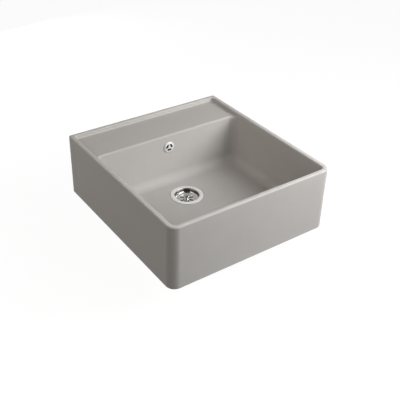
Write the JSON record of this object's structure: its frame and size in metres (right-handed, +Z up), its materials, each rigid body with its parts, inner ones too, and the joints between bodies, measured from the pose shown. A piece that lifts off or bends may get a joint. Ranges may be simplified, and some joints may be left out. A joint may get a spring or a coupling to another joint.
{
  "type": "farmhouse apron front sink",
  "caption": "Single-bowl ceramic kitchen sink with a plain apron front, a lowered tap ledge with upstand, a round slotted overflow and a lift-out basket strainer waste",
  "frame": {"origin": "on the underside of the ceramic, which is the face it rests on, below the middle of the bowl", "axes": "+Z up, +Y from the apron towards the wall behind the sink, +X to the right seen from the apron"},
  "size_m": [0.595, 0.63, 0.3246],
  "materials": {
    "glazed_fireclay": "satin",
    "polished_chrome": "polished",
    "pressed_stainless": "polished",
    "turned_stainless": "satin",
    "turned_brass": "satin",
    "white_plastic": "satin",
    "hose_plastic": "satin",
    "grey_plastic": "satin",
    "black_rubber": "matte",
    "grey_rubber": "matte"
  },
  "bodies": {
    "sink": {"sink_body": "glazed_fireclay", "overflow_cover": "polished_chrome", "overflow_cover_seal": "grey_rubber", "overflow_gasket": "black_rubber", "overflow_elbow": "white_plastic", "upper_hose_nut": "grey_plastic", "upper_hose_seal": "black_rubber", "overflow_hose": "hose_plastic", "lower_hose_seal": "black_rubber", "lower_hose_nut": "grey_plastic", "strainer_cup": "pressed_stainless", "flange_seal": "grey_rubber", "lower_seal": "black_rubber", "waste_body": "white_plastic", "clamp_screw": "turned_stainless", "screw_washer": "black_rubber", "insert_nut": "turned_brass"},
    "plug": {"basket_stem": "turned_stainless", "seal_carrier": "grey_plastic", "plug_seal": "black_rubber", "stem_ring": "black_rubber"},
    "basket": {"basket": "pressed_stainless", "basket_knob": "polished_chrome"}
  },
  "joints": [
    {"name": "basket_lift", "type": "slide", "parent": "sink", "child": "plug", "axis": [0, 0, 1], "range_m": [0, 0.265]},
    {"name": "basket_turn", "type": "hinge", "parent": "plug", "child": "basket", "pos_m": [0, 0.1155, 0.01], "axis": [0, 0, 1], "continuous": true}
  ]
}
